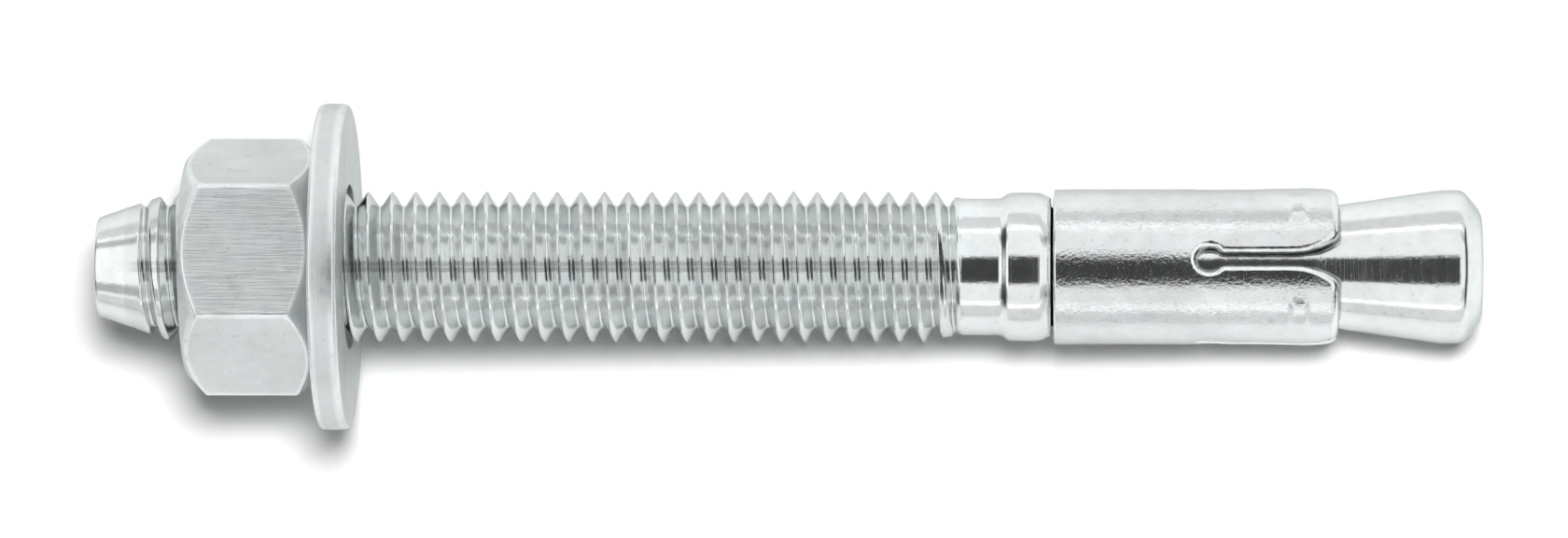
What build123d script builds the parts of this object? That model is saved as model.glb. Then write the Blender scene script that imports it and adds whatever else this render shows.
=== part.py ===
from build123d import *
import os
from math import acos, atan2, cos, degrees, hypot, radians, tan

# Wedge anchor, 1/2-13 x 4-1/2 in: a threaded stud with an expansion cone, a slotted clip rolled
# round its neck, a washer and a hex nut. Millimetres.
# Each piece is modelled about +Z, with the stud's tip at z = 0 and its cone at the top. PLACE then
# lays all four down together, as the anchor lies on a table: on the washer's rim and the cone's
# corner, tip towards -X, with the floor at z = 0.
# The fine 13 per inch thread is left off: the stud is plain to its crests there, and the nut's bore
# clears it.

# Stud
LENGTH = 114.2                  # tip to cone end
NOMINAL_D = 12.7                # 1/2 in
CREST_R = NOMINAL_D / 2 - 0.15  # plated class 2A thread
ROLL_RISE = 0.56                # crest above the blank that the thread is rolled on
TIP_DROP = 2.0                  # tip below the thread's crest
TIP_TAPER = 17.9                # half angle
TIP_EDGE = 0.3                  # 45 degree edge of the tip's face
RUNOUT_LENGTH = 0.7             # the thread's crests end over this length
SHANK_LENGTH = 4.9              # plain, between thread and collar
COLLAR_RISE = 0.46
COLLAR_CROWN = 0.06             # how much the collar swells at its middle
COLLAR_LENGTH = 2.7
COLLAR_RAMP = 0.6
COLLAR_CHAMFER = 0.85           # axial
COLLAR_LIP = 0.42               # radial drop of that chamfer
NECK_STEP = 0.84                # neck below the shank
CONE_ANGLE = 8.1                # half angle
CONE_RISE = 0.12                # cone's land above the thread's crest
LAND_LENGTH = 1.75
END_CHAMFER = 1.87              # radial
END_CHAMFER_ANGLE = 50.0        # from the axis
LAND_ROUND = 1.0
END_ROUND = 1.5

# Expansion clip
CLIP_LENGTH = 23.4
CLIP_WALL = 1.25
CLIP_PLAY = 0.35                # bore over neck, radial
CLIP_GAP = 0.2                  # to the collar
CLIP_SAG = 0.12                 # how far it hangs off the stud's axis
MOUTH_REACH = 2.2               # the clip's open end past the start of the cone
MOUTH_PLAY = 0.2                # over the cone at that end
SPREAD_LENGTH = 7.4             # the wings lean out over this length
CLIP_CHAMFER = 0.25             # ring end, outer edge
MOUTH_ROUND = 0.9               # open end, outer edge
SLOTS = 4
SLOT_ANGLE = 174.1              # of the first slot
SLOT_HALF = 0.5
SLOT_EASE = 0.55                # outer edges of slots and keyholes, eased at 45 degrees
SLOT_BLEND = 0.8                # where slot meets keyhole
KEYHOLE_R = 1.05
KEYHOLE_FROM_MOUTH = 10.6
LIP_LENGTH = 3.9                # the slot flares over this length at the mouth
LIP_R = 5.9
SEAM = 0.4
BUMP_LENGTH = 1.4               # along the axis
BUMP_WIDTH = 2.6                # round the clip
BUMP_RISE = 0.12
BUMP_FROM_MOUTH = 3.3

# Nut and washer
NUT_FACE_Z = 7.4                # tip to the nut's outer face
NUT_THICKNESS = 10.9
NUT_FLATS = 18.7
NUT_TURN = 171.7                # angle of one flat's normal
NUT_CORNER_ROUND = 0.4
NUT_CHAMFER_ANGLE = 43.0
NUT_FACE_MARGIN = 0.4           # the chamfer's circle inside the flats
NUT_PLAY = 0.08                 # bore over the thread's crests, radial
NUT_MOUTH = 0.45                # 45 degree countersinks of the bore
NUT_GAP = 0.15                  # to the washer
WASHER_D = 27.0
WASHER_THICKNESS = 2.4
WASHER_PLAY = 0.55              # bore over thread, radial
WASHER_EDGE = 0.3               # chamfer each side of the rim
WASHER_CROWN = 6.0              # radius of the rim's crown, taken across its thickness
WASHER_SEAT = 0.1               # left between its bore and the thread it carries

# Worked out from the above
TIP_R = CREST_R - TIP_DROP
SHANK_R = CREST_R - ROLL_RISE
COLLAR_R = SHANK_R + COLLAR_RISE
NECK_R = SHANK_R - NECK_STEP
LAND_R = CREST_R + CONE_RISE
CONE_SLOPE = tan(radians(CONE_ANGLE))
TAPER_LENGTH = TIP_DROP / tan(radians(TIP_TAPER))
LAND_END_Z = LENGTH - END_CHAMFER / tan(radians(END_CHAMFER_ANGLE))
LAND_Z = LAND_END_Z - LAND_LENGTH
CONE_Z = LAND_Z - (LAND_R - NECK_R) / CONE_SLOPE
MOUTH_Z = CONE_Z + MOUTH_REACH
CLIP_Z = MOUTH_Z - CLIP_LENGTH
COLLAR_END_Z = CLIP_Z - CLIP_GAP
COLLAR_Z = COLLAR_END_Z - COLLAR_CHAMFER - COLLAR_LENGTH
SHANK_Z = COLLAR_Z - COLLAR_RAMP - SHANK_LENGTH
CLIP_BORE_R = NECK_R + CLIP_PLAY
CLIP_R = CLIP_BORE_R + CLIP_WALL
MOUTH_BORE_R = NECK_R + MOUTH_REACH * CONE_SLOPE + MOUTH_PLAY
LEAN_Z = MOUTH_Z - SPREAD_LENGTH
KEYHOLE_Z = MOUTH_Z - KEYHOLE_FROM_MOUTH
NUT_END_Z = NUT_FACE_Z + NUT_THICKNESS
WASHER_Z = NUT_END_Z + NUT_GAP
WASHER_R = WASHER_D / 2
CROWN_R = WASHER_R - WASHER_CROWN
WASHER_BORE_R = CREST_R + WASHER_PLAY
WASHER_RISE = WASHER_PLAY - WASHER_SEAT


def turned(points, rounds=()):
    """A solid of revolution about Z from (radius, z) points; rounds are (corner, radius) pairs."""
    with BuildPart() as part:
        with BuildSketch(Plane.XZ) as profile:
            with BuildLine():
                Polyline(*points, close=True)
            make_face()
            for (r, z), radius in rounds:
                fillet(profile.vertices().sort_by_distance((r, z))[0], radius)
        revolve(axis=Axis.Z)
    return part.part


def anchor_bolt():
    """Tapered tip, thread, plain shank, crowned collar, neck and expansion cone in one turning."""
    crown = (COLLAR_R + COLLAR_CROWN, COLLAR_Z + COLLAR_LENGTH / 2)
    land_end = (LAND_R, LAND_END_Z)
    cone_end = (LAND_R - END_CHAMFER, LENGTH)
    points = [
        (0, 0),
        (TIP_R - TIP_EDGE, 0),
        (TIP_R, TIP_EDGE),
        (CREST_R, TIP_EDGE + TAPER_LENGTH),
        (CREST_R, SHANK_Z),
        (SHANK_R, SHANK_Z + RUNOUT_LENGTH),
        (SHANK_R, COLLAR_Z - COLLAR_RAMP),
        (COLLAR_R, COLLAR_Z),
        crown,
        (COLLAR_R, COLLAR_END_Z - COLLAR_CHAMFER),
        (COLLAR_R - COLLAR_LIP, COLLAR_END_Z),
        (NECK_R, COLLAR_END_Z),
        (NECK_R, CONE_Z),
        (LAND_R, LAND_Z),
        land_end,
        cone_end,
        (0, LENGTH),
    ]
    return turned(points, [(land_end, LAND_ROUND), (cone_end, END_ROUND)])


def lean_r(ring_r, z):
    """Radius at height z of a clip surface that is ring_r in the plain ring, then leans outwards."""
    lean = (MOUTH_BORE_R - CLIP_BORE_R) / SPREAD_LENGTH
    return ring_r + max(0, z - LEAN_Z) * lean


def clip_tube():
    """The rolled strip before it is slotted."""
    mouth = (lean_r(CLIP_R, MOUTH_Z), MOUTH_Z)
    points = [
        (CLIP_BORE_R, CLIP_Z),
        (CLIP_R - CLIP_CHAMFER, CLIP_Z),
        (CLIP_R, CLIP_Z + CLIP_CHAMFER),
        (CLIP_R, LEAN_Z),
        mouth,
        (MOUTH_BORE_R, MOUTH_Z),
        (CLIP_BORE_R, LEAN_Z),
    ]
    return turned(points, [(mouth, MOUTH_ROUND)])


def slot_outline():
    """Keyhole, slot and flared lips on the plane they are punched from, square to +X."""
    lip_z = MOUTH_Z - LIP_LENGTH
    end_z = lip_z + LIP_R
    neck_z = KEYHOLE_Z + (KEYHOLE_R**2 - SLOT_HALF**2) ** 0.5
    lip_x = SLOT_HALF + LIP_R
    with BuildSketch(Plane.YZ) as outline:
        with Locations((0, KEYHOLE_Z)):
            Circle(KEYHOLE_R)
        with Locations((0, (KEYHOLE_Z + end_z) / 2)):
            Rectangle(2 * SLOT_HALF, end_z - KEYHOLE_Z)
        with BuildSketch(mode=Mode.PRIVATE) as flare:
            with Locations((0, (lip_z + end_z) / 2)):
                Rectangle(2 * lip_x, LIP_R)
            with Locations((lip_x, lip_z), (-lip_x, lip_z)):
                Circle(LIP_R, mode=Mode.SUBTRACT)
        add(flare)
        neck = outline.vertices().sort_by_distance((0, neck_z))[:2]
        fillet(neck, SLOT_BLEND)
    return outline.sketch


def slot_cutter():
    """Cuts one slot along the radius and eases its outer edges."""
    outline = slot_outline()
    ease = extrude(outline, 2 * SLOT_EASE, taper=-45)
    return extrude(outline, 2 * CLIP_R) + Pos(CLIP_R - SLOT_EASE, 0, 0) * ease


def bump():
    """One pressed bump, BUMP_RISE proud of the wing, facing +X."""
    centre_z = MOUTH_Z - BUMP_FROM_MOUTH
    skin_r = lean_r(CLIP_R, centre_z)
    top_r = skin_r + BUMP_RISE
    ring = Cylinder(top_r, BUMP_LENGTH) - Cylinder(skin_r - CLIP_WALL / 2, BUMP_LENGTH)
    return Pos(0, 0, centre_z) * (ring & Pos(top_r, 0, 0) * Box(top_r, BUMP_WIDTH, BUMP_LENGTH))


def expansion_clip():
    """The slotted clip: bumps midway between its slots, and the strip's open seam at one slot."""
    clip = clip_tube()
    for slot in range(SLOTS):
        turn = Rot(0, 0, SLOT_ANGLE + slot * 360 / SLOTS)
        clip -= turn * slot_cutter()
        clip += turn * Rot(0, 0, 180 / SLOTS) * bump()
    seam_length = KEYHOLE_Z - CLIP_Z
    seam = Pos(CLIP_R, 0, CLIP_Z + seam_length / 2) * Box(2 * CLIP_R, SEAM, seam_length)
    return clip - Rot(0, 0, SLOT_ANGLE + 180) * seam


def nut_blank():
    """The hex with its corners turned back by a cone at each end."""
    face_r = NUT_FLATS / 2 - NUT_FACE_MARGIN
    over_r = NUT_FLATS
    cone_rise = (over_r - face_r) * tan(radians(NUT_CHAMFER_ANGLE))
    corner_r = NUT_FLATS / 2 / cos(radians(30))
    hexagon = fillet(RegularPolygon(corner_r, 6, rotation=30).vertices(), NUT_CORNER_ROUND)
    prism = Pos(0, 0, NUT_FACE_Z) * extrude(hexagon, NUT_THICKNESS)
    cones = turned(
        [
            (0, NUT_FACE_Z),
            (face_r, NUT_FACE_Z),
            (over_r, NUT_FACE_Z + cone_rise),
            (over_r, NUT_END_Z + cone_rise),
            (face_r, NUT_END_Z),
            (0, NUT_END_Z),
        ]
    )
    return Rot(0, 0, NUT_TURN) * prism & cones


def hex_nut():
    bore_r = CREST_R + NUT_PLAY
    mouth_r = bore_r + NUT_MOUTH
    bore = turned(
        [
            (0, NUT_FACE_Z),
            (mouth_r, NUT_FACE_Z),
            (bore_r, NUT_FACE_Z + NUT_MOUTH),
            (bore_r, NUT_END_Z - NUT_MOUTH),
            (mouth_r, NUT_END_Z),
            (0, NUT_END_Z),
        ]
    )
    return nut_blank() - bore


def washer():
    """A punched ring whose rim is crowned between two chamfers."""
    end_z = WASHER_Z + WASHER_THICKNESS
    mid_z = (WASHER_Z + end_z) / 2
    low_z, high_z = WASHER_Z + WASHER_EDGE, end_z - WASHER_EDGE
    side_r = CROWN_R + (WASHER_CROWN**2 - (high_z - mid_z) ** 2) ** 0.5
    with BuildPart() as part:
        with BuildSketch(Plane.XZ):
            with BuildLine():
                ThreePointArc((side_r, low_z), (WASHER_R, mid_z), (side_r, high_z))
                Polyline(
                    (side_r, high_z),
                    (side_r - WASHER_EDGE, end_z),
                    (WASHER_BORE_R, end_z),
                    (WASHER_BORE_R, WASHER_Z),
                    (side_r - WASHER_EDGE, WASHER_Z),
                    (side_r, low_z),
                )
            make_face()
        revolve(axis=Axis.Z)
    return part.part


def rest_tilt():
    """Degrees that the stud's axis falls, tip to cone: the washer's crowned rim and the cone's
    rounded corner touch one floor."""
    washer_z, washer_r = WASHER_Z + WASHER_THICKNESS / 2, CROWN_R - WASHER_RISE
    cone_z = LAND_END_Z - LAND_ROUND * tan(radians(END_CHAMFER_ANGLE / 2))
    cone_r = LAND_R - LAND_ROUND
    fall, reach = washer_r - cone_r, cone_z - washer_z
    return degrees(acos((LAND_ROUND - WASHER_CROWN) / hypot(fall, reach)) - atan2(reach, fall))


def rest_place(pieces):
    """Lays the pieces along +X, their common box centred over the origin and its floor at z = 0."""
    lay = Rot(0, 90 + rest_tilt(), 0)
    box = Compound([lay * piece for piece in pieces]).bounding_box()
    return Pos(-box.center().X, -box.center().Y, -box.min.Z) * lay


# Angle 180 faces up at rest, so +X is down: the clip hangs, and the washer stands the stud up.
PIECES = {
    "anchor_bolt": anchor_bolt(),
    "expansion_clip": Pos(CLIP_SAG, 0, 0) * expansion_clip(),
    "washer": Pos(-WASHER_RISE, 0, 0) * washer(),
    "hex_nut": hex_nut(),
}
PLACE = rest_place(PIECES.values())
os.makedirs("parts", exist_ok=True)
for name, piece in PIECES.items():
    export_step(PLACE * piece, f"parts/{name}.step")
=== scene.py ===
from math import atan2, cos, degrees, exp, hypot, pi, radians, sin, sqrt, tan

import bmesh
import bpy
import numpy as np
from mathutils import Matrix, Vector
from mathutils.geometry import delaunay_2d_cdt


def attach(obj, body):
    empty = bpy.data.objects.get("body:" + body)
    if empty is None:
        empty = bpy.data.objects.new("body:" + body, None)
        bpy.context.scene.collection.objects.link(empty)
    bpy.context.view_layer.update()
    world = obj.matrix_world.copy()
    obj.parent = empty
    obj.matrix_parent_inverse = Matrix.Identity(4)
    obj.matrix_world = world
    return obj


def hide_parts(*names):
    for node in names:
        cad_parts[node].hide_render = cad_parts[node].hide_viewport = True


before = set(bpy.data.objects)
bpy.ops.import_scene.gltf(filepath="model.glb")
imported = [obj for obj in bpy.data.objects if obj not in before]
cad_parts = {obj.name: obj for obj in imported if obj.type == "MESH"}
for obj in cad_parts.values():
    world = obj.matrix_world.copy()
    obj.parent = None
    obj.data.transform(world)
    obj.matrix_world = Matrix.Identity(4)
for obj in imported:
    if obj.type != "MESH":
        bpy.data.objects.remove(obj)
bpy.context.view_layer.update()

# Everything is made in the anchor's own frame, in millimetres: z runs along the stud from its tip to
# its cone, and -x faces up. PLACE lays it down in the row's frame, in metres.
TILT = radians(4.168840851769923)
TIP = Vector((-0.056951054, 0.0, 0.01445982))
PLACE = Matrix.Translation(TIP) @ Matrix.Rotation(radians(90) + TILT, 4, "Y") @ Matrix.Scale(0.001, 4)

PITCH = 25.4 / 13
CREST_R = 6.2
ROOT_R = 5.0
SHANK_R = 5.64
COLLAR_R = 6.1
NECK_R = 4.8
LAND_R = 6.32
TIP_R = 4.2
TIP_EDGE = 0.3
TIP_TAPER = tan(radians(17.9))
COLLAR_Z = 75.251
COLLAR_END_Z = 78.801
CONE_Z = 100.201
LAND_Z = 110.881
LAND_END_Z = 112.631
LENGTH = 114.2

CLIP_Z = 79.001
MOUTH_Z = 102.401
LEAN_Z = 95.001
CLIP_R = 6.4
CLIP_WALL = 1.25
CLIP_LEAN = (6.563 - 6.4) / 7.4    # slope of the wings over the cone
LEAN_EASE = 1.2                 # length over which the lean sets in
LEAN_MAKE_UP = 1.19             # what easing the lean would take off the mouth
CLIP_SAG = 0.12
KEYHOLE_Z = 91.801
KEYHOLE_R = 1.05
SLOT_HALF = 0.5
SLOT_ANGLE = 174.1
LIP_Z = 98.501
LIP_R = 5.9
WING_CORNER = 1.1
NECK_BLEND = 0.8
SEAM_HALF = 0.2
SEAM_BLEND = 0.6
SLOT_EDGE = 0.58                # edges rolled over by the punch
MOUTH_EDGE = 0.75
RING_EDGE = 0.25
INNER_EDGE = 0.1
BUMP_Z = 99.101
BUMP_LENGTH = 1.5               # along the axis
BUMP_WIDTH = 3.0                # round the clip
BUMP_RISE = 0.24

NUT_FACE_Z = 7.4
NUT_END_Z = 18.3
NUT_FLATS = 18.7
NUT_TURN = 171.7
NUT_CORNER = 0.4
NUT_FACE_R = 8.95
NUT_CHAMFER = tan(radians(43))

WASHER_Z = 18.45
WASHER_THICKNESS = 2.4
WASHER_R = 13.5
WASHER_BORE_R = 6.75
WASHER_RISE = 0.45              # the stud lies in the bottom of the bore
WASHER_TRIM = 0.005             # keeps the rim inside the solid's own box
RIM_EASE = 0.075                # how far the rim's sides stand in from its crown
RIM_GROOVE = 0.012              # the punch's break line round the rim

COLUMNS = 72                    # steps round every turned piece

# The camera, in steps of FRAME_STEP millimetres along the anchor
FRAME_STEP = 0.077
FRAME_WIDTH = 1680
FRAME_MIDDLE = 840
FRAME_TIP = 103                 # where the tip stands
FRAME_SQUARE = 1200             # where the camera looks square at the axis
FRAME_LOW = 2.5                 # how far the anchor sits off the frame's middle line
CAMERA_AWAY = 9244


# ---------------------------------------------------------------- meshes

def mesh_of(name, points, faces):
    mesh = bpy.data.meshes.new(name)
    mesh.from_pydata([tuple(p) for p in points], [], faces)
    return mesh


def piece(mesh, name, body, node, finish, normals=None):
    """Lays a finished mesh down in the row's frame and hands it over in place of its CAD node."""
    mesh.transform(PLACE)
    mesh.materials.clear()
    mesh.materials.append(finish)
    mesh.shade_smooth()
    if normals:
        turn = PLACE.to_3x3().normalized()
        mesh.normals_split_custom_set_from_vertices([(turn @ n).normalized() for n in normals])
    made = bpy.data.objects.new(name, mesh)
    bpy.context.scene.collection.objects.link(made)
    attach(made, body)
    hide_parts(node)
    return made


def merged(meshes, name, near=1e-4):
    """One closed mesh out of several that share their rims."""
    both = bmesh.new()
    for mesh in meshes:
        both.from_mesh(mesh)
        bpy.data.meshes.remove(mesh)
    bmesh.ops.remove_doubles(both, verts=both.verts, dist=near)
    bmesh.ops.dissolve_degenerate(both, edges=both.edges, dist=near)
    bmesh.ops.recalc_face_normals(both, faces=both.faces)
    mesh = bpy.data.meshes.new(name)
    both.to_mesh(mesh)
    both.free()
    return mesh


def rounded(points, radii, step=12.0):
    """An open outline of (radius, z) points with some of its corners rounded."""
    line = [Vector(p) for p in points]
    out = []
    for k, here in enumerate(line):
        radius = radii.get(k, 0)
        if not radius:
            out.append(here)
            continue
        back, ahead = (line[k - 1] - here).normalized(), (line[k + 1] - here).normalized()
        half = back.angle(ahead) / 2
        centre = here + (back + ahead).normalized() * radius / sin(half)
        first = here + back * radius / tan(half)
        spoke = first - centre
        sweep = (pi - 2 * half) * (1 if back.cross(ahead) > 0 else -1)
        count = max(2, int(abs(degrees(sweep)) / step) + 1)
        for n in range(count + 1):
            out.append(centre + Matrix.Rotation(-sweep * n / count, 2) @ spoke)
    return out


def guarded(line, near=0.15):
    """Adds a point close to both ends of every long straight, which keeps its shading straight."""
    out = [line[0]]
    for here, ahead in zip(line, line[1:]):
        reach = (ahead - here).length
        if reach > 6 * near:
            out += [here.lerp(ahead, near / reach), ahead.lerp(here, near / reach)]
        out.append(ahead)
    return out


def lathe(outline, name, columns=COLUMNS):
    """Turns an outline of (radius, z) points about z, with a single point wherever it meets the axis."""
    points, faces, rows = [], [], []
    for r, z in guarded([Vector(p) for p in outline]):
        if r < 1e-6:
            rows.append([len(points)] * columns)
            points.append((0, 0, z))
            continue
        rows.append(range(len(points), len(points) + columns))
        for n in range(columns):
            turn = 2 * pi * n / columns
            points.append((r * cos(turn), r * sin(turn), z))
    for low, high in zip(rows, rows[1:]):
        for n in range(columns):
            m = (n + 1) % columns
            face = [low[n], low[m], high[m], high[n]]
            faces.append(list(dict.fromkeys(face)))
    return mesh_of(name, points, faces)


# ---------------------------------------------------------------- threads

# One pitch of the rolled thread, root to root, in twenty even rows: (share of pitch, share of depth)
HALF_THREAD = [
    (0, 0), (0.045, 0.02), (0.085, 0.08), (0.125, 0.18), (0.2, 0.37),
    (0.28, 0.565), (0.355, 0.75), (0.41, 0.88), (0.45, 0.965), (0.48, 1.0), (0.5, 0.97),
]
THREAD = HALF_THREAD + [(1 - u, h) for u, h in HALF_THREAD[-2::-1]]


class Nodes:
    """Writes a node tree: each call adds a node and wires or sets its inputs."""

    def __init__(self, tree):
        self.tree = tree

    def add(self, kind, inputs=(), **settings):
        node = self.tree.nodes.new(kind)
        for key, value in settings.items():
            setattr(node, key, value)
        for key, value in dict(inputs).items():
            self.put(node.inputs[key], value)
        return node

    def put(self, socket, value):
        if isinstance(value, bpy.types.NodeSocket):
            self.tree.links.new(value, socket)
        else:
            socket.default_value = value

    def math(self, operation, a, b=0.0):
        return self.add("ShaderNodeMath", {0: a, 1: b}, operation=operation).outputs[0]

    def ramp(self, value, start, end, low, high, kind="LINEAR"):
        ends = {1: start, 2: end, 3: low, 4: high, 0: value}
        return self.add("ShaderNodeMapRange", ends, interpolation_type=kind).outputs[0]

    def curve(self, value, points):
        node = self.add("ShaderNodeFloatCurve", {"Value": value})
        line = node.mapping.curves[0]
        for x, y in points[1:-1]:
            line.points.new(x, y)
        line.points[0].location, line.points[-1].location = points[0], points[-1]
        for point in line.points:
            point.handle_type = "VECTOR"
        node.mapping.update()
        return node.outputs[0]


def thread_tree():
    """A helical strip of thread, wrapped from the lower end to the upper and kept between two envelopes."""
    tree = bpy.data.node_groups.new("rolled_thread", "GeometryNodeTree")
    sizes = ["Pitch", "Crest", "Root", "Phase", "Low", "High", "Low Rim", "High Rim"]
    sizes += ["Taper From", "Taper Slope", "Lip", "Lip Start", "Lip Fall", "Root Rise", "Ragged", "Ragged To"]
    socket = tree.interface.new_socket
    for name in ("Steps", "Turns"):
        socket(name, in_out="INPUT", socket_type="NodeSocketInt")
    for name in sizes:
        socket(name, in_out="INPUT", socket_type="NodeSocketFloat")
    socket("Finish", in_out="INPUT", socket_type="NodeSocketMaterial")
    socket("Mesh", in_out="OUTPUT", socket_type="NodeSocketGeometry")
    n = Nodes(tree)
    put = n.add("NodeGroupInput").outputs
    rows = len(THREAD)
    across = n.math("ADD", n.math("MULTIPLY", put["Steps"], put["Turns"]), 1)
    grid = n.add("GeometryNodeMeshGrid", {"Size X": 1.0, "Size Y": 1.0, "Vertices X": across, "Vertices Y": rows})
    spot = n.add("ShaderNodeSeparateXYZ", {0: n.add("GeometryNodeInputPosition").outputs[0]}).outputs
    turns = n.math("MULTIPLY", n.math("ADD", spot["X"], 0.5), put["Turns"])
    row = n.math("ADD", spot["Y"], 0.5)
    share = n.curve(row, [(k / (rows - 1), u) for k, (u, h) in enumerate(THREAD)])
    height = n.curve(row, [(k / (rows - 1), h) for k, (u, h) in enumerate(THREAD)])
    along = n.math("ADD", n.math("MULTIPLY", n.math("ADD", turns, share), put["Pitch"]), put["Phase"])
    z = n.math("MINIMUM", n.math("MAXIMUM", along, put["Low"]), put["High"])
    depth = n.math("SUBTRACT", put["Crest"], put["Root"])
    r = n.math("ADD", put["Root"], n.math("MULTIPLY", height, depth))
    past = n.math("SUBTRACT", z, put["Taper From"])
    taper = n.math("ADD", put["Low Rim"], n.math("MULTIPLY", past, put["Taper Slope"]))
    lip_end = n.math("ADD", put["Lip Start"], put["Lip Fall"])
    lip_drop = n.ramp(z, put["Lip Start"], lip_end, 0.0, n.math("SUBTRACT", put["Crest"], put["Lip"]))
    rim_start = n.math("SUBTRACT", put["High"], put["Lip Fall"])
    rim_drop = n.ramp(z, rim_start, put["High"], 0.0, n.math("SUBTRACT", put["Lip"], put["High Rim"]))
    over = n.math("SUBTRACT", n.math("SUBTRACT", n.math("MINIMUM", put["Crest"], taper), lip_drop), rim_drop)
    rise_start = n.math("SUBTRACT", put["High"], put["Root Rise"])
    rise = n.ramp(z, rise_start, put["High"], 0.0, n.math("SUBTRACT", put["High Rim"], put["Root"]))
    under = n.math("ADD", n.math("MINIMUM", put["Root"], taper), rise)
    angle = n.math("MULTIPLY", turns, 2 * pi)
    cosine, sine = n.math("COSINE", angle), n.math("SINE", angle)
    where = n.add("ShaderNodeCombineXYZ", {0: cosine, 1: sine, 2: n.math("MULTIPLY", z, 0.35)})
    rough = n.add("ShaderNodeTexNoise", {"Vector": where.outputs[0], "Scale": 2.3, "Detail": 3.0})
    ragged_from = n.math("ADD", put["Low"], 1.5)
    fading = n.ramp(z, ragged_from, put["Ragged To"], put["Ragged"], 0.0)
    torn = n.math("MULTIPLY", n.math("SUBTRACT", rough.outputs[0], 0.5), fading)
    torn = n.math("MULTIPLY", torn, n.ramp(z, put["Low"], ragged_from, 0.0, 1.0))
    r = n.math("MAXIMUM", n.math("MINIMUM", n.math("ADD", r, torn), over), under)
    spun = n.add("ShaderNodeCombineXYZ", {0: n.math("MULTIPLY", r, cosine), 1: n.math("MULTIPLY", r, sine), 2: z})
    wrapped = n.add("GeometryNodeSetPosition", {"Geometry": grid.outputs["Mesh"], "Position": spun.outputs[0]})
    # The profile height is kept as a mask for the finish, which paints the flanks darker as painted shade and the
    # crests brighter as a painted highlight.
    kept = {"Geometry": wrapped.outputs[0], "Name": "wear_and_sheen", "Value": height}
    wear_and_sheen = n.add("GeometryNodeStoreNamedAttribute", kept, data_type="FLOAT", domain="POINT")
    joined = n.add("GeometryNodeMergeByDistance", {"Geometry": wear_and_sheen.outputs[0], "Distance": 1e-4})
    real = n.add("GeometryNodeRealizeInstances", {"Geometry": joined.outputs[0]})
    done = n.add("GeometryNodeSetMaterial", {"Geometry": real.outputs[0], "Material": put["Finish"]})
    n.add("NodeGroupOutput", {0: done.outputs[0]})
    return tree


def grown(tree, name, **values):
    """Runs a node tree once with these inputs and returns what it makes as a plain mesh."""
    holder = bpy.data.objects.new(name, bpy.data.meshes.new(name))
    bpy.context.scene.collection.objects.link(holder)
    run = holder.modifiers.new(name, "NODES")
    run.node_group = tree
    for item in tree.interface.items_tree:
        if item.in_out == "INPUT":
            run[item.identifier] = values[item.name.lower().replace(" ", "_")]
    graph = bpy.context.evaluated_depsgraph_get()
    mesh = bpy.data.meshes.new_from_object(holder.evaluated_get(graph))
    holder.modifiers.remove(run)
    bpy.data.objects.remove(holder)
    return mesh


# ---------------------------------------------------------------- stud

def stud(finish):
    """Tip, grown thread, and everything from the run-out to the cone's end, joined at their rims."""
    low, high = 0.7, 71.45      # where the grown thread starts and ends
    low_rim = TIP_R + (low - TIP_EDGE) * TIP_TAPER
    thread = grown(
        thread_tree(), "stud_thread", steps=COLUMNS, turns=39, pitch=PITCH, crest=CREST_R, root=ROOT_R,
        phase=0.4 - PITCH / 2 - PITCH, low=low, high=high, low_rim=low_rim, high_rim=SHANK_R,
        taper_from=low, taper_slope=TIP_TAPER * 1.06, lip=5.8, lip_start=69.5, lip_fall=0.55, root_rise=1.0,
        ragged=0.5, ragged_to=8.0, finish=finish,
    )
    tip = rounded([(0, 0), (TIP_R - 0.1, 0), (TIP_R, TIP_EDGE), (low_rim, low)], {1: 0.35})
    crown_z = (COLLAR_Z + COLLAR_END_Z - 0.85) / 2
    rest = [
        (SHANK_R, high), (SHANK_R, COLLAR_Z - 0.6), (COLLAR_R, COLLAR_Z), (COLLAR_R + 0.06, crown_z),
        (COLLAR_R, COLLAR_END_Z - 0.85), (COLLAR_R - 0.42, COLLAR_END_Z), (NECK_R, COLLAR_END_Z),
        (NECK_R, CONE_Z), (LAND_R, LAND_Z), (LAND_R, LAND_END_Z), (LAND_R - 1.87, LENGTH), (0, LENGTH),
    ]
    radii = {1: 0.6, 2: 0.45, 3: 8.0, 4: 0.5, 5: 0.12, 6: 0.3, 7: 3.0, 8: 1.2, 9: 1.0, 10: 1.5}
    return merged([thread, lathe(tip, "tip"), lathe(rounded(rest, radii), "rest")], "stud")


# ---------------------------------------------------------------- clip

def arc(centre, radius, start, end, step=13.0):
    """Points of a circle from one angle to another, in degrees."""
    count = max(2, round(abs(end - start) / step))
    turns = [radians(start + (end - start) * k / count) for k in range(count + 1)]
    return [(centre[0] + radius * cos(t), centre[1] + radius * sin(t)) for t in turns]


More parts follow.
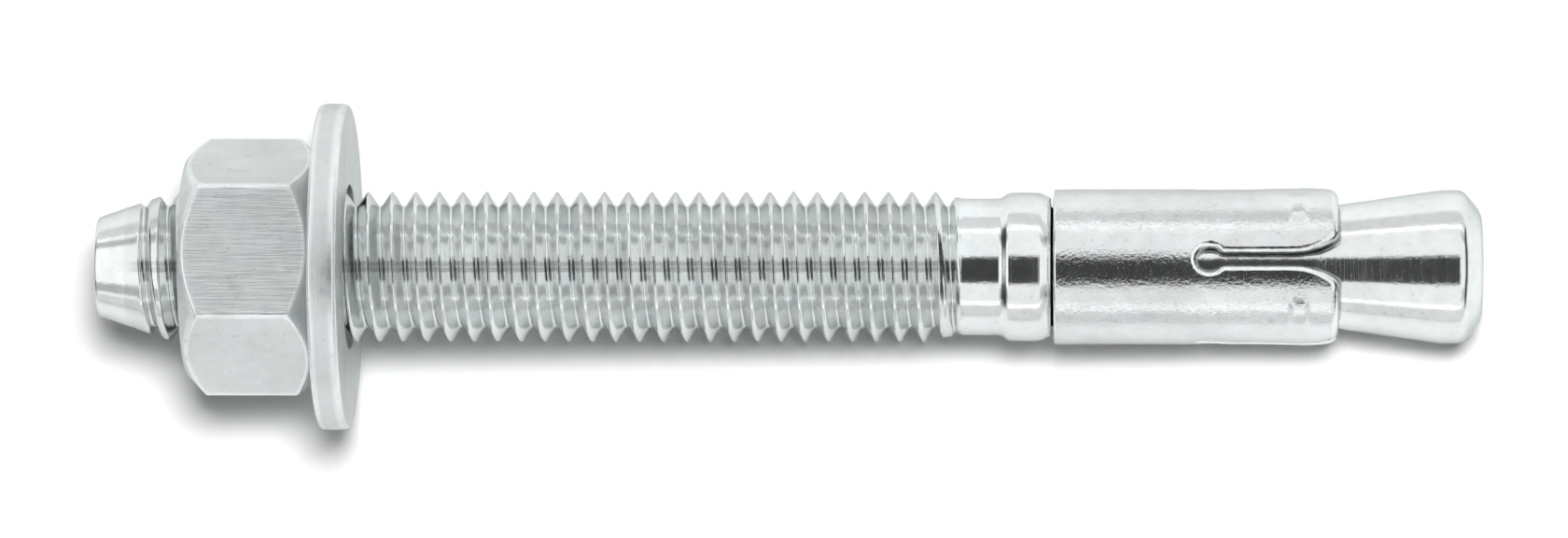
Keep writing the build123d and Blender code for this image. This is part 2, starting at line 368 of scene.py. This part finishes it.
def slot_side():
    """One side of a slot as (offset, z, edge round) points, from the mouth down to the keyhole's foot."""
    corner = (SLOT_HALF + LIP_R - sqrt((LIP_R - WING_CORNER) ** 2 - (MOUTH_Z - WING_CORNER - LIP_Z) ** 2),
              MOUTH_Z - WING_CORNER)
    lip = (SLOT_HALF + LIP_R, LIP_Z)
    touch = degrees(atan2(corner[1] - lip[1], corner[0] - lip[0]))
    neck_x = SLOT_HALF + NECK_BLEND
    neck = (neck_x, KEYHOLE_Z + sqrt((KEYHOLE_R + NECK_BLEND) ** 2 - neck_x**2))
    meet = degrees(atan2(neck[1] - KEYHOLE_Z, neck_x))
    points = arc(corner, WING_CORNER, 90, touch) + arc(lip, LIP_R, touch, 180, 4)[1:]
    straight = int((LIP_Z - neck[1]) / 0.45)
    points += [(SLOT_HALF, LIP_Z + (neck[1] - LIP_Z) * k / straight) for k in range(1, straight)]
    points += arc(neck, NECK_BLEND, 180, 180 + meet) + arc((0, KEYHOLE_Z), KEYHOLE_R, meet, -90)[1:]
    bends = [MOUTH_EDGE + (SLOT_EDGE - MOUTH_EDGE) * min(1, (MOUTH_Z - z) / 2.2) for x, z in points]
    return [(x, z, edge) for (x, z), edge in zip(points, bends)]


def seam_side():
    """One side of the seam's keyhole and seam as (offset, z, edge round), from the mouth to the ring end."""
    side = slot_side()
    blend_x = SEAM_HALF + SEAM_BLEND
    blend_z = KEYHOLE_Z - sqrt((KEYHOLE_R + SEAM_BLEND) ** 2 - blend_x**2)
    meet = degrees(atan2(blend_z - KEYHOLE_Z, blend_x))
    upper = [p for p in side if degrees(atan2(p[1] - KEYHOLE_Z, p[0])) > meet + 5]
    low = arc((blend_x, blend_z), SEAM_BLEND, 180 + meet, 180)
    count = int((blend_z - CLIP_Z - 0.5) / 0.5)
    low += [(SEAM_HALF, blend_z + (CLIP_Z + 0.5 - blend_z) * k / count) for k in range(1, count)]
    low += arc((SEAM_HALF + 0.5, CLIP_Z + 0.5), 0.5, 180, 270)
    return upper + [(x, z, RING_EDGE) for x, z in low]


def strip_outline():
    """The whole edge of the unrolled strip, as (along the strip, z, edge round), metal on the left."""
    length = 2 * pi * CLIP_R
    side, seam = slot_side(), seam_side()
    reach, count = length / 4 - 2 * side[0][0], 12
    out = [(length - x, z, e) for x, z, e in reversed(seam)]
    for k in (3, 2, 1):
        middle = length * k / 4
        out += [(middle + side[0][0] + reach * (1 - n / count), MOUTH_Z, MOUTH_EDGE) for n in range(1, count)]
        out += [(middle + x, z, e) for x, z, e in side]
        out += [(middle - x, z, e) for x, z, e in reversed(side[:-1])]
    out += [(side[0][0] + reach * (1 - n / count), MOUTH_Z, MOUTH_EDGE) for n in range(1, count)]
    out += seam
    count = 76
    first, last = out[-1][0], length - out[-1][0]
    return out + [(first + (last - first) * n / count, CLIP_Z, RING_EDGE) for n in range(1, count)]


def filled(loop, extra):
    """Triangles inside a closed loop, through the extra points that fall well inside it."""
    ring = np.array(loop)
    ahead = np.roll(ring, -1, axis=0)
    keep = []
    for x, y in extra:
        cross = (ring[:, 1] > y) != (ahead[:, 1] > y)
        at = ring[:, 0] + (y - ring[:, 1]) / np.where(cross, ahead[:, 1] - ring[:, 1], 1) * (ahead[:, 0] - ring[:, 0])
        if (cross & (x < at)).sum() % 2 and np.hypot(ring[:, 0] - x, ring[:, 1] - y).min() > 0.22:
            keep.append((x, y))
    points = [Vector(p) for p in list(loop) + keep]
    edges = [(k, (k + 1) % len(loop)) for k in range(len(loop))]
    spots, _, faces, origin, _, _ = delaunay_2d_cdt(points, edges, [], 1, 1e-6)
    first = [o[0] for o in origin]
    return keep, [[first[v] for v in face] for face in faces]


def bump_height(along, z):
    """Rise and its slopes of the four pressed bumps at a place on the strip."""
    quarter = pi * CLIP_R / 2
    u = (((along - quarter / 2) / quarter + 0.5) % 1 - 0.5) * quarter / (BUMP_WIDTH / 2)
    v = (z - BUMP_Z) / (BUMP_LENGTH / 2)
    q = u**4 + v**4
    if q > 9:
        return 0, 0, 0
    height = BUMP_RISE * exp(-q)
    return height, -8 * height * u**3 / BUMP_WIDTH, -8 * height * v**3 / BUMP_LENGTH


def expansion_clip():
    """The strip rolled round the neck: rows of points from its outer skin over its edges to its bore."""
    outline = strip_outline()
    flat = np.array([(s, z) for s, z, e in outline])
    edge = np.array([e for s, z, e in outline])
    run = np.roll(flat, -1, axis=0) - np.roll(flat, 1, axis=0)
    out = np.stack([run[:, 1], -run[:, 0]], axis=1) / np.hypot(run[:, 0], run[:, 1])[:, None]
    # Each row is (inset from the outline, drop below the skin, lean of the normal)
    turns = [radians(t) for t in (90, 72, 54, 36, 18, 0)]
    rows = [(edge * (1 - cos(a)), edge * (1 - sin(a)), a) for a in turns]
    wall = np.full(len(flat), CLIP_WALL)
    rows.append((np.zeros(len(flat)), (edge + wall - INNER_EDGE) / 2, 0.0))
    for a in (0.0, radians(-45), radians(-90)):
        inset = np.full(len(flat), INNER_EDGE * (1 - cos(a)))
        rows.append((inset, wall - INNER_EDGE * (1 + sin(a)), a))
    spots, normals, wear_and_sheen = [], [], []

    def put(s, z, drop, outward, angle, rub_and_sheen):
        theta = radians(SLOT_ANGLE + 180) + s / CLIP_R
        rise, slope_s, slope_z = bump_height(s, z) if drop < 0.7 else (0, 0, 0)
        lean = max(0.0, z - LEAN_Z)
        lean = CLIP_LEAN * (lean * lean / (lean + LEAN_EASE)) * LEAN_MAKE_UP
        r = CLIP_R + lean + rise - drop
        away, round_ = Vector((cos(theta), sin(theta), 0)), Vector((-sin(theta), cos(theta), 0))
        spots.append(Vector((r * away.x + CLIP_SAG, r * away.y, z)))
        along = Vector((0, 0, 1))
        slope_z += CLIP_LEAN if z > LEAN_Z + LEAN_EASE / 2 else 0
        top = (away - round_ * slope_s - along * slope_z).normalized()
        edge_way = round_ * outward[0] + along * outward[1]
        normals.append((top * sin(angle) + edge_way * cos(angle)).normalized())
        wear_and_sheen.append(rub_and_sheen)

    # Points on the rounded edges are marked 1 for the finish, which paints them brighter: partly rubbed wear, partly
    # a painted highlight where the edges catch the light.
    for inset, drop, angle in rows:
        for k in range(len(flat)):
            place = flat[k] - out[k] * inset[k]
            put(place[0], place[1], drop[k], out[k], angle, 1.0 if 0.2 < angle < 1.5 else 0.0)
    faces, count = [], len(flat)
    for row in range(len(rows) - 1):
        for k in range(count):
            m = (k + 1) % count
            low, high = row * count, (row + 1) * count
            faces.append([low + m, low + k, high + k, high + m])
    # Loose points for the two skins, finer on the bumps
    length, wide = 2 * pi * CLIP_R, 0.55
    bumps = [length / 8 + k * length / 4 for k in range(4)]
    steps = range(int(length / wide) + 1)
    grid = [((i + 0.5 * (j % 2)) * wide, CLIP_Z + 0.4 + j * 0.75) for j in range(32) for i in steps]
    grid = [(x, y) for x, y in grid if all(abs(x - b) > 2.1 or abs(y - BUMP_Z) > 1.75 for b in bumps)]
    near = [(b + i * 0.16, BUMP_Z + j * 0.13) for b in bumps for i in range(-12, 13) for j in range(-12, 13)]
    skins = (
        (rows[0][0], 0.0, pi / 2, grid + near, 0, False),
        (rows[-1][0], CLIP_WALL, -pi / 2, grid, (len(rows) - 1) * count, True),
    )
    for inset, drop, angle, extra, first, flip in skins:
        loop = [tuple(flat[k] - out[k] * inset[k]) for k in range(count)]
        keep, triangles = filled(loop, extra)
        base = len(spots)
        for s, z in keep:
            put(s, z, drop, (0, 0), angle, 0.0)
        for face in triangles:
            ids = [first + v if v < count else base + v - count for v in face]
            faces.append(ids[::-1] if flip else ids)
    mesh = mesh_of("expansion_clip", spots, faces)
    mark(mesh, wear_and_sheen)
    return mesh, normals


# ---------------------------------------------------------------- nut and washer

def mark(mesh, wear_and_sheen):
    """Stores how bright each point is painted, for the finish to read: partly rubbed wear, partly a painted highlight
    on rounded edges.
    """
    layer = mesh.attributes.new("wear_and_sheen", "FLOAT", "POINT")
    layer.data.foreach_set("value", [float(w) for w in wear_and_sheen])


def flat_led(mesh):
    """Normals led by each point's largest faces, so that flats stay flat up to their rounded edges."""
    total = [Vector((0, 0, 0)) for _ in mesh.vertices]
    for face in mesh.polygons:
        for v in face.vertices:
            total[v] += face.normal * face.area**1.5
    return [t.normalized() for t in total]


def hex_outline():
    """Points round the hexagon with its corners rounded, each as (angle, radius)."""
    half = NUT_FLATS / 2
    corner = half / cos(radians(30))
    out = []
    for k in range(6):
        middle = NUT_TURN + 30 + 60 * k
        centre_r = corner - NUT_CORNER / cos(radians(30))
        for t in range(-30, 31, 10):
            away = Matrix.Rotation(radians(middle), 2) @ Vector((centre_r, 0))
            tip = away + Matrix.Rotation(radians(middle + t), 2) @ Vector((NUT_CORNER, 0))
            out.append(tip)
        first = out[-1]
        last = Matrix.Rotation(radians(60), 2) @ out[-7]
        out += [first.lerp(last, n / 16) for n in range(1, 16)]
    return [(atan2(p.y, p.x), p.length) for p in out]


def hex_nut():
    """One outline of bore, faces, chamfers and flat for each direction round the nut."""
    bore, mouth = CREST_R + 0.08, CREST_R + 0.53    # clear of the thread, and the countersink's rim
    rim, spots, faces, wear_and_sheen = hex_outline(), [], [], []
    for angle, reach in rim:
        start = NUT_FACE_Z + (reach - NUT_FACE_R) * NUT_CHAMFER
        end = NUT_END_Z - (reach - NUT_FACE_R) * NUT_CHAMFER
        profile = rounded(
            [
                (bore, (NUT_FACE_Z + NUT_END_Z) / 2), (bore, NUT_FACE_Z + 0.45), (mouth, NUT_FACE_Z),
                (NUT_FACE_R, NUT_FACE_Z), (reach, start), (reach, start + 0.6), (reach, (start + end) / 2),
                (reach, end - 0.6), (reach, end), (NUT_FACE_R, NUT_END_Z), (mouth, NUT_END_Z),
                (bore, NUT_END_Z - 0.45),
            ],
            {2: 0.12, 3: 0.35, 4: 0.3, 8: 0.3, 9: 0.35, 10: 0.12}, 15.0,
        )
        column = [len(spots) + n for n in range(len(profile))]
        for p in profile:
            spots.append((p[0] * cos(angle), p[0] * sin(angle), p[1]))
            # Chamfer rims and rounded corners are marked for the finish, which paints them brighter: partly rubbed
            # wear, partly a painted highlight where the rounded edges catch the light.
            off = min(abs(p[1] - start), abs(p[1] - end))
            on_corner = reach > NUT_FLATS / 2 / cos(radians(30)) - 0.12 and start < p[1] < end
            wear_and_sheen.append(1.0 if p[0] > NUT_FACE_R and (off < 0.2 or on_corner) else 0.0)
        faces.append(column)
    quads = []
    for one, two in zip(faces, faces[1:] + faces[:1]):
        for n in range(len(one)):
            m = (n + 1) % len(one)
            quads.append([one[n], two[n], two[m], one[m]])
    mesh = mesh_of("hex_nut", spots, quads)
    mark(mesh, wear_and_sheen)
    return mesh


def washer():
    """A punched ring with a crowned rim and a fine break line round it."""
    end_z, mid_z = WASHER_Z + WASHER_THICKNESS, WASHER_Z + WASHER_THICKNESS / 2
    rim = WASHER_R - WASHER_TRIM
    side = rim - RIM_EASE
    outline = rounded(
        [
            (WASHER_BORE_R, mid_z), (WASHER_BORE_R, WASHER_Z), (side, WASHER_Z), (rim, mid_z - 0.25),
            (rim - RIM_GROOVE, mid_z - 0.15), (rim, mid_z - 0.05), (side, end_z), (WASHER_BORE_R, end_z),
            (WASHER_BORE_R, mid_z),
        ],
        {1: 0.12, 2: 0.34, 3: 0.05, 5: 0.05, 6: 0.42, 7: 0.12},
    )
    mesh = merged([lathe(outline, "ring", 144)], "washer")
    mesh.transform(Matrix.Translation((-WASHER_RISE, 0, 0)))
    # The rim's rounded edges are marked for the finish, which paints them brighter: partly wear, partly a painted
    # highlight.
    out = [hypot(v.co.x + WASHER_RISE, v.co.y) > side - 0.25 for v in mesh.vertices]
    mark(mesh, [far and abs(v.co.z - mid_z) > 0.8 for far, v in zip(out, mesh.vertices)])
    return mesh


# ---------------------------------------------------------------- materials

def plated(name, tint, rough, rings=0.0, streaks=0.0, grain=0.0, pits=0.0, painted_shade=0.0, crest=False):
    """Bright zinc plate. Its marks lie in the anchor's own frame, in millimetres."""
    mat = bpy.data.materials.new(name)
    mat.use_nodes = True
    n = Nodes(mat.node_tree)
    shader = mat.node_tree.nodes["Principled BSDF"]
    shader.inputs["Metallic"].default_value = 1.0
    shader.inputs["Specular Tint"].default_value = (0.55, 0.57, 0.56, 1)
    spot = n.add("ShaderNodeTexCoord").outputs["Object"]
    own = n.add(
        "ShaderNodeMapping",
        {"Vector": spot, "Location": TIP, "Rotation": (0, radians(90) + TILT, 0), "Scale": (0.001, 0.001, 0.001)},
        vector_type="TEXTURE",
    ).outputs[0]
    part = n.add("ShaderNodeSeparateXYZ", {0: own}).outputs
    squares = [n.math("MULTIPLY", part[k], part[k]) for k in (0, 1)]
    across = n.math("SQRT", n.math("ADD", *squares))

    def noise(scale, detail=3.0, stretch=(1, 1, 1), roughness=0.55):
        moved = n.add("ShaderNodeVectorMath", {0: own, 1: stretch}, operation="MULTIPLY").outputs[0]
        kind = {"Vector": moved, "Scale": scale, "Detail": detail, "Roughness": roughness}
        return n.add("ShaderNodeTexNoise", kind).outputs[0]

    ring_line = {0: n.math("MULTIPLY", across, 6.0), 2: n.math("MULTIPLY", part[2], 6.0)}
    ring_line = n.add("ShaderNodeCombineXYZ", ring_line).outputs[0]
    turned = n.add("ShaderNodeTexNoise", {"Vector": ring_line, "Scale": 1.6, "Detail": 4.0}).outputs[0]
    broad = noise(0.16, 2.0)
    cloud = noise(0.9, 4.0)
    fine = noise(3.2, 3.0, roughness=0.65)
    drawn = noise(5.5, 3.0, (1, 1, 0.06))
    speck = n.ramp(noise(1.7, 2.0, roughness=0.4), 0.66, 0.72, 0.0, 1.0, "SMOOTHSTEP")
    # This mask paints light as well as wear: rounded edges and thread crests are painted brighter as a highlight, and
    # thread flanks are painted darker as shade.
    wear_and_sheen = n.add("ShaderNodeAttribute", attribute_name="wear_and_sheen").outputs["Fac"]
    if crest:
        # On the thread, crests and roots take the bright end. The flanks take the painted shade, which stands in for
        # their darker reflections. The plain stud before and past the thread takes the bright end too.
        past_thread = n.ramp(part[2], 70.4, 71.4, 0.0, 1.0)
        plain = n.math("MAXIMUM", past_thread, n.ramp(part[2], 3.6, 2.4, 0.0, 1.0))
        top = n.ramp(wear_and_sheen, 0.86, 1.0, 0.0, 1.0, "SMOOTHSTEP")
        root = n.ramp(wear_and_sheen, 0.12, 0.0, 0.0, 0.7, "SMOOTHSTEP")
        wear_and_sheen = n.math("MAXIMUM", n.math("MAXIMUM", top, root), plain)
    else:
        wear_and_sheen = n.ramp(wear_and_sheen, 0.45, 1.0, 0.0, 1.0, "SMOOTHSTEP")
    height = n.math("MULTIPLY", n.math("SUBTRACT", turned, 0.5), rings)
    for field, share in ((drawn, streaks), (fine, grain), (cloud, pits)):
        height = n.math("ADD", height, n.math("MULTIPLY", n.math("SUBTRACT", field, 0.5), share))
    height = n.math("SUBTRACT", height, n.math("MULTIPLY", speck, 0.25))
    bump = n.add("ShaderNodeBump", {"Strength": 1.0, "Distance": 0.00001, "Height": height})
    n.put(shader.inputs["Normal"], bump.outputs[0])
    shade = n.ramp(broad, 0.35, 0.65, 0.93, 1.04)
    shade = n.math("MULTIPLY", shade, n.ramp(cloud, 0.3, 0.7, 0.95, 1.04))
    # Painted light: points off the mask are painted darker as painted shade, and points on it a little brighter as a
    # painted highlight.
    shade = n.math("MULTIPLY", shade, n.ramp(wear_and_sheen, 0.0, 1.0, 1.0 - painted_shade, 1.08))
    shade = n.math("SUBTRACT", shade, n.math("MULTIPLY", speck, 0.1))
    warm = n.ramp(noise(0.3, 2.0), 0.4, 0.65, 0.0, 1.0)
    cool = (tint[0] * 0.985, tint[1], tint[2] * 1.02, 1)
    tone = n.add("ShaderNodeMix", {0: warm, 6: (*tint, 1), 7: cool}, data_type="RGBA").outputs[2]
    lit = n.add("ShaderNodeVectorMath", {0: tone, 3: shade}, operation="SCALE").outputs[0]
    n.put(shader.inputs["Base Color"], lit)
    polish = n.ramp(cloud, 0.3, 0.7, rough * 0.85, rough * 1.18)
    polish = n.math("ADD", polish, n.math("MULTIPLY", n.math("SUBTRACT", fine, 0.5), rough * 0.5))
    worked = n.ramp(plain, 0.0, 1.0, 1.2, 1.0) if crest else n.ramp(wear_and_sheen, 0.0, 1.0, 1.0, 0.8)
    polish = n.math("MULTIPLY", polish, worked)
    n.put(shader.inputs["Roughness"], polish)
    return mat


# ---------------------------------------------------------------- studio

def light(name, size, power, where, towards, glossy=True, floor=True):
    """A soft box. It can be kept out of reflections, or light the metal alone and not the floor."""
    lamp = bpy.data.lights.new(name, "AREA")
    lamp.shape = "RECTANGLE"
    lamp.size, lamp.size_y = size
    lamp.energy = power
    holder = bpy.data.objects.new(name, lamp)
    holder.location = where
    holder.rotation_euler = (Vector(towards) - Vector(where)).to_track_quat("-Z", "Y").to_euler()
    holder.visible_camera = False
    holder.visible_glossy, holder.visible_diffuse = glossy, floor
    bpy.context.scene.collection.objects.link(holder)
    return holder


def studio():
    """Pale floor, boxes that the metal reflects, and a small lamp and a soft one for the floor."""
    mesh = mesh_of("floor", [(-3, -3, 0), (3, -3, 0), (3, 3, 0), (-3, 3, 0)], [(0, 1, 2, 3)])
    floor = bpy.data.objects.new("floor", mesh)
    bpy.context.scene.collection.objects.link(floor)
    pale = bpy.data.materials.new("pale_floor")
    pale.use_nodes = True
    shader = pale.node_tree.nodes["Principled BSDF"]
    shader.inputs["Base Color"].default_value = (0.95, 0.95, 0.95, 1)
    shader.inputs["Roughness"].default_value = 0.9
    mesh.materials.append(pale)
    world = bpy.data.worlds.new("studio")
    world.use_nodes = True
    world.node_tree.nodes["Background"].inputs["Color"].default_value = (0.06, 0.06, 0.06, 1)
    bpy.context.scene.world = world
    bpy.context.scene.view_settings.view_transform = "Standard"
    # Soft boxes half a metre up: (name, x from, x to, y from, y to, brightness)
    boxes = [
        ("upper_box", -0.3, 0.38, 0.14, 1.1, 0.97), ("lower_box", -0.3, 0.38, -1.15, -0.25, 0.95),
        ("tip_box", -1.1, -0.3, -0.4, 0.5, 1.15), ("cone_box", 0.38, 1.1, -0.4, 0.5, 1.0),
        ("tip_strip", -0.3, -0.12, -0.25, 0.14, 1.0), ("cone_strip", 0.2, 0.38, -0.25, 0.14, 1.0),
        ("tip_upper", -1.1, -0.3, 0.5, 1.3, 0.5), ("tip_lower", -1.1, -0.3, -1.2, -0.4, 0.5),
        ("cone_upper", 0.38, 1.1, 0.5, 1.3, 0.6), ("cone_lower", 0.38, 1.1, -1.2, -0.4, 0.6),
    ]
    for name, x0, x1, y0, y1, bright in boxes:
        size, over = (x1 - x0, y1 - y0), ((x0 + x1) / 2, (y0 + y1) / 2)
        light(name, size, pi * size[0] * size[1] * bright, (*over, 0.5), (*over, 0), floor=False)
    light("far_side", (3.0, 0.7), 4.9, (0, 1.28, 0.34), (0, 0, 0.1), floor=False)
    light("near_side", (3.0, 0.7), 4.9, (0, -1.33, 0.34), (0, 0, 0.1), floor=False)
    light("key", (0.22, 0.22), 11.0, (0.15, 0.17, 1.0), (0, 0, 0), glossy=False)
    light("fill", (1.6, 1.6), 1.3, (-0.1, 0.1, 1.2), (0, 0, 0), glossy=False)


def camera():
    """Looks down on the lying anchor, square to its axis over the clip."""
    foot = PLACE @ Vector((0, 0, (FRAME_SQUARE - FRAME_TIP) * FRAME_STEP))
    up = (PLACE.to_3x3() @ Vector((-1, 0, 0))).normalized()
    drop = Vector((0, -FRAME_LOW * FRAME_STEP / 1000, 0))
    where = foot + up * CAMERA_AWAY * FRAME_STEP / 1000 + drop
    centre = PLACE @ Vector((0, 0, (FRAME_MIDDLE - FRAME_TIP) * FRAME_STEP)) + drop
    lens = bpy.data.cameras.new("camera")
    lens.sensor_width = 36.0
    lens.lens = lens.sensor_width * CAMERA_AWAY / FRAME_WIDTH
    lens.clip_start, lens.clip_end = 0.05, 10.0
    eye = bpy.data.objects.new("camera", lens)
    view = (centre - where).normalized()
    right = view.cross(Vector((0, 1, 0))).normalized()
    turn = Matrix((right, right.cross(view), -view)).transposed().to_4x4()
    eye.matrix_world = Matrix.Translation(where) @ turn
    bpy.context.scene.collection.objects.link(eye)
    bpy.context.scene.camera = eye


# In each finish, the share that darkens unmarked points is painted shade: on the stud it darkens the thread flanks,
# and elsewhere it sets off the marked edges as a painted highlight.
stud_zinc = plated("stud_zinc", (0.76, 0.785, 0.77), 0.11, rings=0.9, grain=0.9, pits=0.5, painted_shade=0.2, crest=True)
clip_zinc = plated("clip_zinc", (0.78, 0.80, 0.79), 0.11, grain=3.2, pits=1.6, streaks=0.5, painted_shade=0.03)
washer_zinc = plated("washer_zinc", (0.82, 0.84, 0.835), 0.48, grain=1.2, pits=2.2, painted_shade=0.08)
nut_zinc = plated("nut_zinc", (0.82, 0.84, 0.835), 0.4, streaks=4.0, grain=0.6, pits=0.8, painted_shade=0.1)

piece(stud(stud_zinc), "stud", "stud", "anchor_bolt", stud_zinc)
clip_mesh, clip_normals = expansion_clip()
piece(clip_mesh, "clip", "clip", "expansion_clip", clip_zinc, clip_normals)
washer_mesh = washer()
piece(washer_mesh, "flat_washer", "washer", "washer", washer_zinc, flat_led(washer_mesh))
nut_mesh = hex_nut()
piece(nut_mesh, "nut", "nut", "hex_nut", nut_zinc, flat_led(nut_mesh))
studio()
camera()
